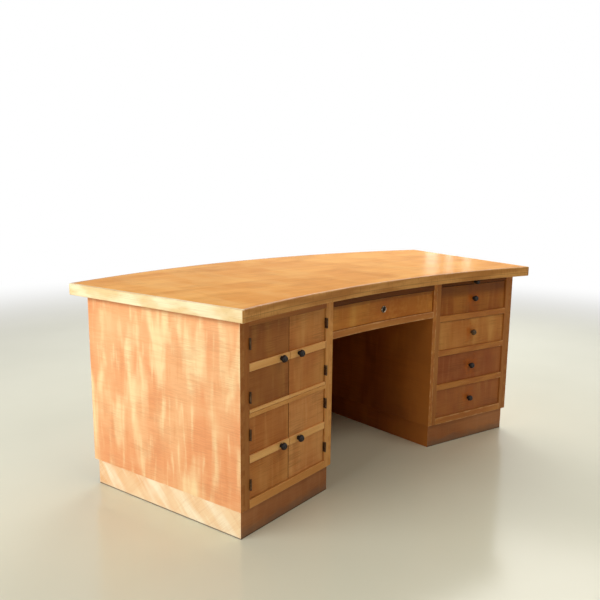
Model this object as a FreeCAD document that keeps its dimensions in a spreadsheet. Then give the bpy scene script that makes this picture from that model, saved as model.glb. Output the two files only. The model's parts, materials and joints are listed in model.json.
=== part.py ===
import FreeCAD, Part
import math
import os
from types import SimpleNamespace

import Sketcher
from FreeCAD import Placement, Rotation, Vector

# Curved pedestal desk: concave working edge, convex rear, a cupboard pedestal on the left,
# a drawer pedestal with a writing slide on the right and one drawer over the kneehole.
# Origin on the floor at the middle of the desk's box. +X right, +Y rear, +Z up. Millimetres.

SIZES = (
    # Desktop
    ("desk_height", 760),
    ("top_thickness", 41),
    ("front_width", 1590),
    ("rear_width", 1948),
    ("side_depth", 780),
    ("front_sagitta", 101.5),
    ("rear_sagitta", 173.5),
    ("lipping_width", 11),
    # Carcass below the desktop
    ("side_overhang", 45),
    ("face_setback", 48),
    ("rear_overhang", 47),
    ("kneehole_width", 584),
    ("panel_thickness", 19),
    ("back_thickness", 14),
    ("floor_board_thickness", 18),
    ("fixing_block_length", 60),
    ("fixing_block_section", 20),
    # Plinths
    ("plinth_height", 98),
    ("plinth_inset", 11),
    ("plinth_board", 19),
    # Face frames
    ("stile_width", 21),
    ("frame_behind_front", 2),
    ("divider_depth", 45),
    ("bottom_rail_height", 28),
    ("divider_height", 25),
    ("top_rail_height", 28),
    ("mid_rail_height", 14),
    # Drawer supports
    ("dust_board_thickness", 10),
    ("guide_width", 18),
    ("guide_height", 20),
    ("bearer_height", 12),
    ("bearer_reach", 10),
    # Drawers
    ("front_recess", 6),
    ("front_thickness", 18),
    ("drawer_side_gap", 1.5),
    ("drawer_top_gap", 2.5),
    ("drawer_foot_gap", 0.5),
    ("drawer_wall", 12),
    ("drawer_head_room", 22),
    ("drawer_back_room", 120),
    ("drawer_bottom_thickness", 5),
    ("drawer_bottom_lift", 8),
    # Writing slide
    ("slide_thickness", 20),
    ("slide_gap", 1),
    ("slide_recess", 2),
    # Drawer over the kneehole
    ("kneehole_rail_height", 31),
    ("centre_opening_height", 91),
    ("apron_height", 26),
    ("centre_drawer_depth", 420),
    ("runner_width", 30),
    ("runner_height", 12),
    # Doors
    ("door_thickness", 16),
    ("door_hinge_gap", 2.2),
    ("door_pair_gap", 2.5),
    ("door_top_gap", 2),
    ("door_foot_gap", 1.5),
    ("foot_strip_height", 10),
    ("knob_from_door_edge", 44),
    # Hinges
    ("hinge_length", 36),
    ("hinge_end_distance", 34),
    ("hinge_axis_proud", 4),
    ("leaf_thickness", 1),
    ("leaf_width", 13),
    ("knuckle_radius", 3.5),
    ("knuckle_gap", 0.3),
    ("pin_radius", 1.5),
    ("pin_clearance", 0.05),
    # Knobs
    ("knob_diameter", 25),
    ("slide_knob_diameter", 21),
    ("knob_length", 22),
    ("knob_rim", 4),
    ("knob_flare", 2),
    ("knob_stem_diameter", 11),
    ("knob_stem_length", 8),
    # Lock of the kneehole drawer
    ("escutcheon_diameter", 27),
    ("escutcheon_thickness", 2),
    ("keyhole_diameter", 6),
    ("keyhole_slot_width", 3),
    ("keyhole_slot_length", 9),
    ("lock_case_width", 54),
    ("lock_case_depth", 14),
    ("lock_case_drop", 62),
    ("bolt_width", 14),
    ("bolt_depth", 6),
    ("bolt_length", 24),
    ("bolt_throw", 8),
    ("bolt_clearance", 0.4),
    ("bolt_case_wall", 4),
)

DRAWER_COUNT = 4
DIVIDER_COUNT = DRAWER_COUNT - 1
KNUCKLE_COUNT = 3
# The cupboard's mid rail lines up with the middle drawer divider and its handle strips with
# the dividers next below and above
MID_RAIL_LEVEL = DRAWER_COUNT // 2
LOWER_HANDLE_LEVEL = MID_RAIL_LEVEL - 1
UPPER_HANDLE_LEVEL = MID_RAIL_LEVEL + 1

doc = FreeCAD.newDocument("curved_desk")
sheet = doc.addObject("Spreadsheet::Sheet", "Sizes")
mm = SimpleNamespace()
kept = []


def set_size(alias, value):
    row = len(vars(mm)) + 1
    sheet.set(f"A{row}", alias)
    sheet.set(f"B{row}", str(value))
    sheet.setAlias(f"B{row}", alias)
    setattr(mm, alias, float(value))


for alias, value in SIZES:
    set_size(alias, value)


def keep(piece):
    kept.append(piece)
    return piece


def board(label, frame, corner, length, width, height):
    # A straight board: its sides follow the sheet, its corner is given in the frame's own axes.
    piece = doc.addObject("Part::Box", label)
    for side, rule in (("Length", length), ("Width", width), ("Height", height)):
        piece.setExpression(side, rule)
    piece.Placement = frame.multiply(Placement(Vector(*corner), Rotation()))
    return piece


def rod(label, frame, foot, radius, height, turn=Rotation()):
    piece = doc.addObject("Part::Cylinder", label)
    piece.setExpression("Radius", radius)
    piece.setExpression("Height", height)
    piece.Placement = frame.multiply(Placement(Vector(*foot), turn))
    return piece


def group(label, pieces):
    # Alike pieces of one assembly that share a node, each still a solid of its own.
    piece = doc.addObject("Part::Compound", label)
    piece.Links = pieces
    return piece


def cut(label, base, tool):
    piece = doc.addObject("Part::Cut", label)
    piece.Base = base
    piece.Tool = tool
    return piece


def fuse(label, pieces):
    piece = doc.addObject("Part::MultiFuse", label)
    piece.Shapes = pieces
    return piece


def sketch_on_plane(body, edges):
    sketch = body.newObject("Sketcher::SketchObject", body.Name + "_outline")
    plane = next(part for part in body.Origin.OriginFeatures if part.Role == "XY_Plane")
    sketch.AttachmentSupport = [(plane, "")]
    sketch.MapMode = "FlatFace"
    for edge in edges:
        index = sketch.addGeometry(edge, False)
        sketch.addConstraint(Sketcher.Constraint("Block", index))
    return sketch


def prism(label, edges, low, height):
    # A board sawn to a plan outline and standing from the level low.
    body = doc.addObject("PartDesign::Body", label)
    sketch = sketch_on_plane(body, edges)
    pad = body.newObject("PartDesign::Pad", label + "_pad")
    pad.Profile = sketch
    pad.setExpression("Length", height)
    body.Placement = Placement(Vector(0, 0, low), Rotation())
    return body


# Plan of the desk


def unit(x, y):
    return Vector(x, y, 0).normalize()


def mirrored(point):
    return Vector(-point.x, point.y, point.z)


def arc_y(centre_y, radius, x):
    return centre_y + math.sqrt(radius ** 2 - x ** 2)


def meet_arc(line, arc):
    # Rear crossing of a plan line with an arc whose centre lies on the desk's middle line.
    start, heading = line
    centre_y, radius = arc
    from_centre = start - Vector(0, centre_y, 0)
    along = from_centre.dot(heading)
    reach = math.sqrt(along ** 2 - from_centre.dot(from_centre) + radius ** 2) - along
    return start + heading * reach


def meet_line(line, other):
    start, heading = line
    other_start, other_heading = other
    offset = other_start - start
    reach = offset.cross(other_heading).z / heading.cross(other_heading).z
    return start + heading * reach


def outline(points, arcs=None):
    # Closed plan outline. arcs names the stretches, by their first point, that follow an arc.
    arcs = arcs or {}
    edges = []
    for index, start in enumerate(points):
        end = points[(index + 1) % len(points)]
        if index in arcs:
            middle_x = (start.x + end.x) / 2
            middle = Vector(middle_x, arc_y(*arcs[index], middle_x), 0)
            edges.append(Part.Arc(start, middle, end))
        else:
            edges.append(Part.LineSegment(start, end))
    return edges


half_front = mm.front_width / 2
half_rear = mm.rear_width / 2
front_y = -(mm.side_depth + mm.rear_sagitta) / 2
rear_corner_y = front_y + mm.side_depth
front_radius = (half_front ** 2 + mm.front_sagitta ** 2) / (2 * mm.front_sagitta)
front_centre_y = front_y + mm.front_sagitta - front_radius
rear_radius = (half_rear ** 2 + mm.rear_sagitta ** 2) / (2 * mm.rear_sagitta)
rear_centre_y = rear_corner_y + mm.rear_sagitta - rear_radius
end_heading = unit(half_rear - half_front, mm.side_depth)
kneehole_half = mm.kneehole_width / 2
underside = mm.desk_height - mm.top_thickness


def end_line(inset):
    # Runs parallel to the desktop's right end, the inset in from it.
    return Vector(half_front - inset / end_heading.y, front_y, 0), end_heading


def kneehole_line(inset):
    # Runs straight back, the inset into the right pedestal from its kneehole face.
    return Vector(kneehole_half + inset, front_y, 0), Vector(0, 1, 0)


def front_arc(inset):
    return front_centre_y, front_radius + inset


def rear_arc(inset):
    return rear_centre_y, rear_radius - inset


def carcass_rear(inset):
    return rear_arc(mm.rear_overhang + inset)


def side_line(inset):
    return end_line(mm.side_overhang + inset)


face_arc = front_arc(mm.face_setback)
inner_corner = meet_arc(kneehole_line(0), face_arc)
outer_corner = meet_arc(side_line(0), face_arc)
face_heading = (outer_corner - inner_corner).normalize()
face_inward = Vector(-face_heading.y, face_heading.x, 0)


def face_line(depth):
    # Runs along the right pedestal's flat front, the depth behind its face.
    return inner_corner + face_inward * depth, face_heading


def depth_to_back(point):
    return (meet_arc((point, face_inward), carcass_rear(mm.back_thickness)) - point).Length


# Corners of the pedestal's inside at its face and of the opening between its stiles
inner_stile_foot = meet_line(kneehole_line(mm.panel_thickness), face_line(0))
outer_stile_foot = meet_line(side_line(mm.panel_thickness), face_line(0))
opening_start = inner_stile_foot + face_heading * mm.stile_width
opening_end = outer_stile_foot - face_heading * mm.stile_width
# Where the outer panel leans towards the drawers, what runs behind the fronts is narrower by it
outer_slope = end_heading.dot(face_heading) / end_heading.dot(face_inward)
outer_lean = max(0, -outer_slope) * depth_to_back(outer_stile_foot)

face_turn = math.degrees(math.atan2(face_heading.y, face_heading.x))
upright = Vector(0, 0, 1)
desk_frame = Placement()
# Frames of the two openings: first axis along the face to the right, second axis inwards.
right_frame = Placement(opening_start, Rotation(upright, face_turn))
left_frame = Placement(mirrored(opening_end), Rotation(upright, -face_turn))


drawer_reach = min(depth_to_back(opening_start), depth_to_back(opening_end)) - mm.drawer_back_room
opening_foot = mm.plinth_height + mm.bottom_rail_height
slide_zone = mm.slide_thickness + 2 * mm.slide_gap
stacked_height = underside - opening_foot - slide_zone - DIVIDER_COUNT * mm.divider_height

# Sizes worked out from the plan, which the boards follow in the sheet
set_size("frame_depth", mm.front_recess + mm.front_thickness + mm.frame_behind_front)
set_size("carcass_height", underside - mm.plinth_height)
set_size("opening_width", (opening_end - opening_start).Length)
set_size("drawer_opening", stacked_height / DRAWER_COUNT)
set_size("drawer_length", drawer_reach - mm.front_recess - mm.front_thickness)
set_size("guide_length", drawer_reach - mm.divider_depth)
set_size("slide_length", drawer_reach - mm.slide_recess)


def level_foot(level):
    # Lower edge of the drawer opening on a level, counted from the floor up.
    return opening_foot + level * (mm.drawer_opening + mm.divider_height)


def divider_low(level):
    # Lower edge of the divider under the drawer opening on a level.
    return level_foot(level) - mm.divider_height


def as_drawn(point):
    return point


# The right pedestal as drawn and the left one mirrored
HANDS = (("right", as_drawn), ("left", mirrored))


def plan(place, points, arcs=None):
    return outline([place(point) for point in points], arcs)


# Desktop


def build_desktop():
    lip = mm.lipping_width
    height = "Sizes.top_thickness"
    front_end = meet_arc(end_line(lip), front_arc(lip))
    rear_end = meet_arc(end_line(lip), rear_arc(lip))
    core = (mirrored(front_end), front_end, rear_end, mirrored(rear_end))
    core_edges = outline(core, {0: front_arc(lip), 2: rear_arc(lip)})
    keep(prism("desktop_panel", core_edges, underside, height))
    lippings = []
    for name, arc in (("front", front_arc), ("rear", rear_arc)):
        outer = meet_arc(end_line(lip), arc(0))
        inner = meet_arc(end_line(lip), arc(lip))
        strip = (mirrored(outer), outer, inner, mirrored(inner))
        edges = outline(strip, {0: arc(0), 2: arc(lip)})
        lippings.append(prism(name + "_lipping", edges, underside, height))
    tips = [meet_arc(end_line(inset), arc(0)) for inset, arc in
            ((0, front_arc), (0, rear_arc), (lip, rear_arc), (lip, front_arc))]
    for name, place in HANDS:
        lippings.append(prism(name + "_lipping", plan(place, tips), underside, height))
    keep(group("desktop_lippings", lippings))


# Pedestal carcasses


def panel_outline(line):
    # A side panel runs from the flat face to the curved rear.
    far = mm.panel_thickness
    return (meet_line(line(0), face_line(0)), meet_arc(line(0), carcass_rear(0)),
            meet_arc(line(far), carcass_rear(0)), meet_line(line(far), face_line(0)))


def inside_outline(depth):
    # The floor between the panels, from the depth behind the face to the back panel.
    near = kneehole_line(mm.panel_thickness)
    far = side_line(mm.panel_thickness)
    rear = carcass_rear(mm.back_thickness)
    return (meet_line(near, face_line(depth)), meet_line(far, face_line(depth)),
            meet_arc(far, rear), meet_arc(near, rear))


def inside_board(label, place, depth, low, height):
    rear = {2: carcass_rear(mm.back_thickness)}
    return prism(label, plan(place, inside_outline(depth), rear), low, height)


def curved_back(label, left, right):
    # A bent panel between two plan lines, its outer face on the carcass's rear arc.
    outer = carcass_rear(0)
    inner = carcass_rear(mm.back_thickness)
    points = [meet_arc(line, arc) for line, arc in
              ((left, outer), (right, outer), (right, inner), (left, inner))]
    edges = outline(points, {0: outer, 2: inner})
    return prism(label, edges, mm.plinth_height, "Sizes.carcass_height")


def mirrored_line(line):
    start, heading = line
    return mirrored(start), mirrored(heading)


def plinth_ring(inset):
    return (meet_line(kneehole_line(inset), face_line(inset)),
            meet_line(side_line(inset), face_line(inset)),
            meet_arc(side_line(inset), carcass_rear(inset)),
            meet_arc(kneehole_line(inset), carcass_rear(inset)))


def build_plinth(name, place):
    # Four boards mitred at the corners, set in from the carcass above.
    inner_inset = mm.plinth_inset + mm.plinth_board
    outer = plinth_ring(mm.plinth_inset)
    inner = plinth_ring(inner_inset)
    bent = {0: carcass_rear(mm.plinth_inset), 2: carcass_rear(inner_inset)}
    boards = []
    for index, side in enumerate(("front", "outer", "rear", "inner")):
        after = (index + 1) % len(outer)
        points = (outer[index], outer[after], inner[after], inner[index])
        edges = plan(place, points, bent if side == "rear" else None)
        boards.append(prism(f"{name}_plinth_{side}", edges, 0, "Sizes.plinth_height"))
    keep(group(name + "_plinth", boards))


def build_stiles(name, place):
    back = face_inward * mm.frame_depth
    inner_back = meet_line(kneehole_line(mm.panel_thickness), face_line(mm.frame_depth))
    outer_back = meet_line(side_line(mm.panel_thickness), face_line(mm.frame_depth))
    inner = (inner_stile_foot, opening_start, opening_start + back, inner_back)
    outer = (opening_end, outer_stile_foot, outer_back, opening_end + back)
    stiles = []
    for side, points in (("inner", inner), ("outer", outer)):
        label = f"{name}_{side}_stile"
        edges = plan(place, points)
        stiles.append(prism(label, edges, mm.plinth_height, "Sizes.carcass_height"))
    return stiles


def build_pedestals():
    floor_low = opening_foot - mm.floor_board_thickness
    floors = []
    stiles = []
    for name, place in HANDS:
        for side, line in (("outer", side_line), ("inner", kneehole_line)):
            edges = plan(place, panel_outline(line))
            keep(prism(f"{name}_{side}_side", edges, mm.plinth_height, "Sizes.carcass_height"))
        floors.append(inside_board(name + "_bottom_board", place, mm.frame_depth, floor_low,
                                   "Sizes.floor_board_thickness"))
        stiles.extend(build_stiles(name, place))
        build_plinth(name, place)
    keep(group("bottom_boards", floors))
    keep(group("front_stiles", stiles))


def build_backs():
    near = kneehole_line(mm.panel_thickness)
    far = side_line(mm.panel_thickness)
    backs = [curved_back("right_back", near, far),
             curved_back("left_back", mirrored_line(far), mirrored_line(near))]
    keep(group("pedestal_backs", backs))
    kneehole = kneehole_line(0)
    keep(curved_back("modesty_panel", mirrored_line(kneehole), kneehole))


def build_fixing_blocks():
    # Blocks in the rear corners that hold the desktop to the panels.
    section = mm.fixing_block_section
    blocks = []
    for side, line in (("outer", side_line), ("inner", kneehole_line)):
        start, heading = line(mm.panel_thickness)
        square = Vector(-heading.y, heading.x, 0)
        inward = square if side == "outer" else square * -1
        corner = meet_arc((start, heading), carcass_rear(mm.back_thickness + section))
        front = corner - heading * mm.fixing_block_length
        points = (front, corner, corner + inward * section, front + inward * section)
        for name, place in HANDS:
            label = f"{name}_{side}_fixing_block"
            low = underside - section
            blocks.append(prism(label, plan(place, points), low, "Sizes.fixing_block_section"))
    keep(group("top_fixing_blocks", blocks))


# Cupboard front and shelf in the left pedestal


def build_cupboard_frame():
    mid_low = divider_low(MID_RAIL_LEVEL)
    rails = (("bottom", mm.plinth_height, "Sizes.bottom_rail_height"),
             ("mid", mid_low, "Sizes.mid_rail_height"),
             ("top", underside - mm.top_rail_height, "Sizes.top_rail_height"))
    pieces = [board(f"left_{side}_rail", left_frame, (0, 0, low), "Sizes.opening_width",
                    "Sizes.frame_depth", height) for side, low, height in rails]
    keep(group("cupboard_rails", pieces))
    keep(inside_board("cupboard_shelf", mirrored, mm.frame_depth, mid_low,
                      "Sizes.mid_rail_height"))


# Dividers, dust boards, guides and slide bearers in the right pedestal


def build_drawer_frame():
    rails = [board("right_bottom_rail", right_frame, (0, 0, mm.plinth_height),
                   "Sizes.opening_width", "Sizes.frame_depth", "Sizes.bottom_rail_height")]
    dust_boards = []
    for level in range(1, DRAWER_COUNT):
        foot = level_foot(level)
        rails.append(board(f"divider_{level}", right_frame, (0, 0, divider_low(level)),
                           "Sizes.opening_width", "Sizes.divider_depth", "Sizes.divider_height"))
        dust_boards.append(inside_board(f"dust_board_{level}", as_drawn, mm.divider_depth,
                                        foot - mm.dust_board_thickness,
                                        "Sizes.dust_board_thickness"))
    keep(group("drawer_dividers", rails))
    keep(group("dust_boards", dust_boards))
    guides = []
    for level in range(DRAWER_COUNT):
        for side, start in (("left", -mm.guide_width), ("right", mm.opening_width - outer_lean)):
            corner = (start, mm.divider_depth, level_foot(level))
            guides.append(board(f"{side}_guide_{level}", right_frame, corner, "Sizes.guide_width",
                                "Sizes.guide_length", "Sizes.guide_height"))
    keep(group("drawer_guides", guides))


slide_foot = underside - mm.slide_gap - mm.slide_thickness


def build_slide_bearers():
    # Two side bearers, from the stiles to a cross rail between the panels behind the slide.
    low = slide_foot - mm.bearer_height
    rail_front = drawer_reach + mm.guide_width
    rail_back = rail_front + mm.guide_width
    near = kneehole_line(mm.panel_thickness)
    far = side_line(mm.panel_thickness)
    rail = (meet_line(near, face_line(rail_front)), meet_line(far, face_line(rail_front)),
            meet_line(far, face_line(rail_back)), meet_line(near, face_line(rail_back)))
    bearers = [prism("bearer_cross_rail", plan(as_drawn, rail), low, "Sizes.bearer_height")]
    right_start = mm.opening_width - outer_lean - mm.bearer_reach
    for side, start in (("left", -mm.guide_width), ("right", right_start)):
        bearers.append(board(side + "_bearer", right_frame, (start, mm.frame_depth, low),
                             "Sizes.guide_width + Sizes.bearer_reach", "Sizes.bearer_length",
                             "Sizes.bearer_height"))
    keep(group("slide_bearers", bearers))


# Rails, runners and rear plinth of the kneehole

centre_top = underside - mm.kneehole_rail_height
centre_foot = centre_top - mm.centre_opening_height
front_back = mm.front_recess + mm.front_thickness
bolt_y = arc_y(*face_arc, 0) + front_back + mm.bolt_case_wall
BOLT_POCKET_WIDTH = "Sizes.bolt_width + 2 * Sizes.bolt_clearance"
BOLT_POCKET_DEPTH = "Sizes.bolt_depth + 2 * Sizes.bolt_clearance"


def face_curve(depth):
    # The kneehole front runs on the curve of the desktop's front edge.
    return front_arc(mm.face_setback + depth)


def curved_strip(label, half_width, near, far, low, height):
    points = [Vector(x, arc_y(*face_curve(depth), x), 0) for x, depth in
              ((-half_width, near), (half_width, near), (half_width, far), (-half_width, far))]
    edges = outline(points, {0: face_curve(near), 2: face_curve(far)})
    return prism(label, edges, low, height)


def bolt_pocket(label, low, height):
    corner = (-mm.bolt_width / 2 - mm.bolt_clearance, bolt_y - mm.bolt_clearance, low)
    return board(label, desk_frame, corner, BOLT_POCKET_WIDTH, BOLT_POCKET_DEPTH, height)


def build_kneehole():
    rail = curved_strip("kneehole_rail_blank", kneehole_half, 0, mm.divider_depth, centre_top,
                        "Sizes.kneehole_rail_height")
    mortise = bolt_pocket("bolt_mortise", centre_top, "Sizes.bolt_throw")
    keep(cut("kneehole_top_rail", rail, mortise))
    keep(curved_strip("apron_rail", kneehole_half, 0, mm.frame_depth,
                      centre_foot - mm.apron_height, "Sizes.apron_height"))
    runner_edge = kneehole_half - mm.runner_width
    kicker_low = centre_foot + mm.centre_side_height + mm.drawer_top_gap
    strips = []
    for name, depth, low in (("runner", mm.frame_depth, centre_foot - mm.runner_height),
                             ("kicker", mm.divider_depth, kicker_low)):
        front = arc_y(*face_curve(depth), runner_edge)
        for side, x in (("left", -kneehole_half), ("right", runner_edge)):
            strips.append(board(f"{side}_{name}", desk_frame, (x, front, low), "Sizes.runner_width",
                                "Sizes.centre_drawer_depth", "Sizes.runner_height"))
    keep(group("centre_drawer_runners", strips))
    outer = carcass_rear(mm.plinth_inset)
    inner = carcass_rear(mm.plinth_inset + mm.plinth_board)
    right = kneehole_line(mm.plinth_inset)
    left = mirrored_line(right)
    points = [meet_arc(line, arc) for line, arc in
              ((left, outer), (right, outer), (right, inner), (left, inner))]
    keep(prism("rear_plinth", outline(points, {0: outer, 2: inner}), 0, "Sizes.plinth_height"))


# Knob, turned in one piece with its stem


def knob(label, frame, seat, diameter):
    radius = diameter / 2
    stem = mm.knob_stem_diameter / 2
    rim_foot = mm.knob_stem_length + mm.knob_flare
    rim_top = rim_foot + mm.knob_rim
    dome = mm.knob_length - rim_top
    dome_radius = (radius ** 2 + dome ** 2) / (2 * dome)
    half_angle = math.asin(radius / dome_radius) / 2
    crown = Vector(dome_radius * math.sin(half_angle),
                   mm.knob_length - dome_radius * (1 - math.cos(half_angle)), 0)
    profile = [Vector(0, 0, 0), Vector(stem, 0, 0), Vector(stem, mm.knob_stem_length, 0),
               Vector(radius, rim_foot, 0), Vector(radius, rim_top, 0)]
    tip = Vector(0, mm.knob_length, 0)
    edges = [Part.LineSegment(start, end) for start, end in zip(profile, profile[1:])]
    edges.append(Part.Arc(profile[-1], crown, tip))
    edges.append(Part.LineSegment(tip, profile[0]))
    body = doc.addObject("PartDesign::Body", label)
    sketch = sketch_on_plane(body, edges)
    turned = body.newObject("PartDesign::Revolution", label + "_turned")
    turned.Profile = sketch
    turned.ReferenceAxis = (sketch, ["V_Axis"])
    turned.Angle = 360
    half_turn = Rotation(upright, 180)
    body.Placement = frame.multiply(Placement(Vector(*seat), half_turn))
    return body


# Drawers of the right pedestal


def drawer_box(label, frame, corner, inner, length, height):
    # Two sides and a back behind a drawer's front; inner, length and height name sheet sizes.
    u, v, low = corner
    wall = mm.drawer_wall
    far = u + wall + getattr(mm, inner)
    back = v + getattr(mm, length) - wall
    run = "Sizes." + length
    tall = "Sizes." + height
    return [board(label + "_left_side", frame, corner, "Sizes.drawer_wall", run, tall),
            board(label + "_right_side", frame, (far, v, low), "Sizes.drawer_wall", run, tall),
            board(label + "_back", frame, (u + wall, back, low), "Sizes." + inner,
                  "Sizes.drawer_wall", tall)]


def build_drawer(number):
    label = f"drawer_{number}"
    foot = level_foot(DRAWER_COUNT - number)
    gap = mm.drawer_side_gap
    front_foot = foot + mm.drawer_foot_gap
    keep(board(label + "_front", right_frame, (gap, mm.front_recess, front_foot),
               "Sizes.drawer_width", "Sizes.front_thickness", "Sizes.drawer_front_height"))
    pieces = drawer_box(label, right_frame, (gap, front_back, foot), "drawer_inner_width",
                        "drawer_length", "drawer_side_height")
    bottom_corner = (gap + mm.drawer_wall, front_back, foot + mm.drawer_bottom_lift)
    pieces.append(board(label + "_bottom", right_frame, bottom_corner, "Sizes.drawer_inner_width",
                        "Sizes.drawer_length - Sizes.drawer_wall",
                        "Sizes.drawer_bottom_thickness"))
    keep(group(label + "_box", pieces))
    seat = (mm.opening_width / 2, mm.front_recess, front_foot + mm.drawer_front_height / 2)
    keep(knob(label + "_knob", right_frame, seat, mm.knob_diameter))


def build_writing_slide():
    gap = mm.drawer_side_gap
    keep(board("writing_slide_board", right_frame, (gap, mm.slide_recess, slide_foot),
               "Sizes.drawer_box_width", "Sizes.slide_length", "Sizes.slide_thickness"))
    below = level_foot(DRAWER_COUNT - 1) + mm.drawer_foot_gap + mm.drawer_front_height
    seat = (mm.opening_width / 2, mm.slide_recess, (below + underside) / 2)
    keep(knob("writing_slide_knob", right_frame, seat, mm.slide_knob_diameter))


# Drawer over the kneehole with its lock


def build_centre_drawer():
    half_width = kneehole_half - mm.drawer_side_gap
    front_foot = centre_foot + mm.drawer_foot_gap
    front_top = front_foot + mm.centre_front_height
    keyhole_z = front_foot + mm.centre_front_height / 2
    blank = curved_strip("centre_front_blank", half_width, mm.front_recess, front_back, front_foot,
                         "Sizes.centre_front_height")
    outwards = Rotation(Vector(1, 0, 0), 90)
    behind = arc_y(*face_curve(front_back), 0) + mm.lock_case_depth
    # Drilled from the back of the lock case to past the front's face
    key_way = rod("key_way", desk_frame, (0, behind, keyhole_z), "Sizes.keyhole_diameter / 2",
                  "Sizes.lock_case_depth + Sizes.front_thickness + Sizes.front_recess", outwards)
    keep(cut("centre_drawer_front", blank, key_way))
    build_escutcheon(keyhole_z, outwards)

    box_front = arc_y(*face_curve(front_back), half_width - mm.drawer_wall)
    pieces = drawer_box("centre_drawer", desk_frame, (-half_width, box_front, centre_foot),
                        "centre_inner_width", "centre_drawer_depth", "centre_side_height")
    inner_half = half_width - mm.drawer_wall
    bottom_rear = box_front + mm.centre_drawer_depth - mm.drawer_wall
    curve = face_curve(front_back)
    points = (Vector(-inner_half, arc_y(*curve, inner_half), 0),
              Vector(inner_half, arc_y(*curve, inner_half), 0),
              Vector(inner_half, bottom_rear, 0), Vector(-inner_half, bottom_rear, 0))
    pieces.append(prism("centre_drawer_bottom", outline(points, {0: curve}),
                        centre_foot + mm.drawer_bottom_lift, "Sizes.drawer_bottom_thickness"))
    keep(group("centre_drawer_box", pieces))
    build_lock(front_top, key_way)


def build_escutcheon(keyhole_z, outwards):
    # A flat ring on the curved front, pierced by a round hole with a slot below it.
    half = mm.escutcheon_diameter / 2
    seat_y = arc_y(*face_curve(mm.front_recess), half)
    plate = rod("escutcheon_plate", desk_frame, (0, seat_y, keyhole_z),
                "Sizes.escutcheon_diameter / 2", "Sizes.escutcheon_thickness", outwards)
    hole = rod("keyhole_round", desk_frame, (0, seat_y, keyhole_z), "Sizes.keyhole_diameter / 2",
               "Sizes.escutcheon_thickness", outwards)
    slot_corner = (-mm.keyhole_slot_width / 2, seat_y - mm.escutcheon_thickness,
                   keyhole_z - mm.keyhole_slot_length)
    slot = board("keyhole_slot", desk_frame, slot_corner, "Sizes.keyhole_slot_width",
                 "Sizes.escutcheon_thickness", "Sizes.keyhole_slot_length")
    keep(cut("lock_escutcheon", plate, fuse("keyhole", [hole, slot])))


def build_lock(case_top, key_way):
    case_y = arc_y(*face_curve(front_back), 0)
    case_foot = case_top - mm.lock_case_drop
    block = board("lock_case_block", desk_frame, (-mm.lock_case_width / 2, case_y, case_foot),
                  "Sizes.lock_case_width", "Sizes.lock_case_depth", "Sizes.lock_case_drop")
    bolt_foot = case_top - mm.bolt_length
    channel = bolt_pocket("bolt_channel", bolt_foot - mm.bolt_clearance,
                          "Sizes.bolt_length + 2 * Sizes.bolt_clearance")
    keep(cut("lock_case", block, fuse("lock_hollows", [channel, key_way])))
    keep(board("lock_bolt", desk_frame, (-mm.bolt_width / 2, bolt_y, bolt_foot),
               "Sizes.bolt_width", "Sizes.bolt_depth", "Sizes.bolt_length"))


# Doors of the left pedestal, two above and two below the mid rail


lower_door_foot = opening_foot + mm.door_foot_gap
lower_door_top = divider_low(MID_RAIL_LEVEL) - mm.door_top_gap
upper_door_foot = divider_low(MID_RAIL_LEVEL) + mm.mid_rail_height + mm.door_foot_gap
upper_door_top = underside - mm.top_rail_height - mm.door_top_gap


def hinge_leaf(label, frame, plate_u, spans):
    # A plate beside the gap with the knuckles it owns, bored for the pin. The frame stands on
    # the pin's axis at the hinge's foot.
    back = mm.hinge_axis_proud
    pieces = [board(label + "_plate", frame, (plate_u, back, 0), "Sizes.leaf_thickness",
                    "Sizes.leaf_width", "Sizes.hinge_length")]
    for index, (low, rule) in enumerate(spans):
        pieces.append(board(f"{label}_neck_{index}", frame, (plate_u, 0, low),
                            "Sizes.leaf_thickness", "Sizes.hinge_axis_proud", rule))
        pieces.append(rod(f"{label}_knuckle_{index}", frame, (0, 0, low), "Sizes.knuckle_radius",
                          rule))
    bore = rod(label + "_bore", frame, (0, 0, 0), "Sizes.pin_radius + Sizes.pin_clearance",
               "Sizes.hinge_length")
    return cut(label, fuse(label + "_blank", pieces), bore)


frame_leaves = []
pins = []


def build_hinge(label, axis_u, foot, stile_side):
    # stile_side is -1 where the stile lies left of the pin and 1 where it lies right of it.
    frame = left_frame.multiply(Placement(Vector(axis_u, -mm.hinge_axis_proud, foot), Rotation()))
    half_gap = mm.door_hinge_gap / 2
    outer = half_gap - mm.leaf_thickness
    stile_u, door_u = (-half_gap, outer) if stile_side < 0 else (outer, -half_gap)
    end_rule = "Sizes.knuckle_length - Sizes.knuckle_gap"
    middle = [(mm.knuckle_length, "Sizes.knuckle_length")]
    last_low = mm.hinge_length - mm.knuckle_length + mm.knuckle_gap
    ends = [(0, end_rule), (last_low, end_rule)]
    frame_leaves.append(hinge_leaf(label + "_frame_leaf", frame, stile_u, ends))
    pins.append(rod(label + "_pin", frame, (0, 0, 0), "Sizes.pin_radius", "Sizes.hinge_length"))
    return hinge_leaf(label + "_door_leaf", frame, door_u, middle)


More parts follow.
